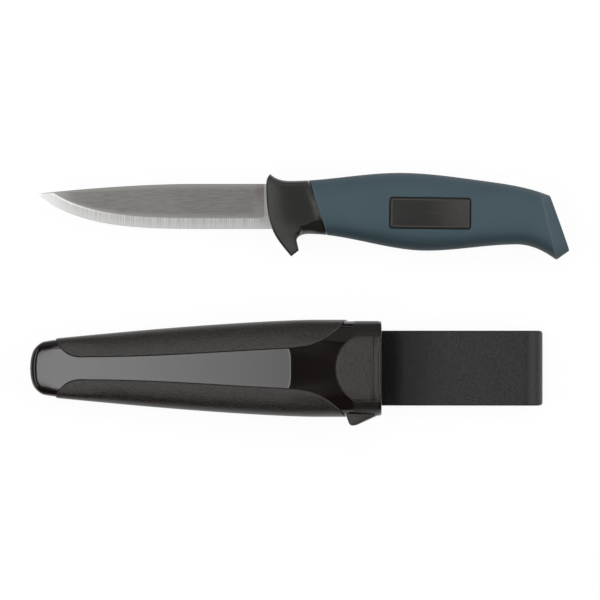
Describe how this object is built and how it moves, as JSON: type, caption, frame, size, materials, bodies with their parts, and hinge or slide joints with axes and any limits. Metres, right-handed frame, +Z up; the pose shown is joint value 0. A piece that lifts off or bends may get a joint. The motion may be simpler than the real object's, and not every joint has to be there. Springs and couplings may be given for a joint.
{
  "type": "bushcraft knife with sheath",
  "caption": "Fixed-blade bushcraft knife with a drop-point blade, finger guard and soft swelling grip, lying beside its moulded belt sheath.",
  "frame": {"origin": "middle of the bottom of the box that holds the knife and the sheath as they lie", "axes": "+X from the blade's tip to the pommel, +Y from the sheath to the knife, +Z up from the surface they lie on"},
  "size_m": [0.2158, 0.101, 0.0331],
  "materials": {
    "blade_steel": "satin flats with a lengthwise grain, ground bevel with lines square to the edge",
    "guard_plastic": "fine matt moulded",
    "soft_grip": "soft-touch matt",
    "plate_plastic": "satin field in a raised frame",
    "gloss_shell": "polished moulded",
    "grained_plastic": "leather-like grain",
    "strap": "flexible, leather-like grain",
    "rivet_metal": "blackened"
  },
  "bodies": {
    "sheath": {"sheath_shell": "gloss_shell", "upper_flank": "grained_plastic", "lower_flank": "grained_plastic", "throat_pad": "grained_plastic", "belt_loop": "strap", "front_rivets": "rivet_metal", "rear_rivets": "rivet_metal"},
    "knife": {"blade": "blade_steel", "handle_core": "guard_plastic", "grip_sleeve": "soft_grip", "label_plate_front": "plate_plastic", "label_plate_back": "plate_plastic"}
  },
  "joints": [
    {"name": "knife_draw", "type": "slide", "parent": "sheath", "child": "knife", "axis": [1, 0, 0], "range_m": [0, 0.132]}
  ]
}
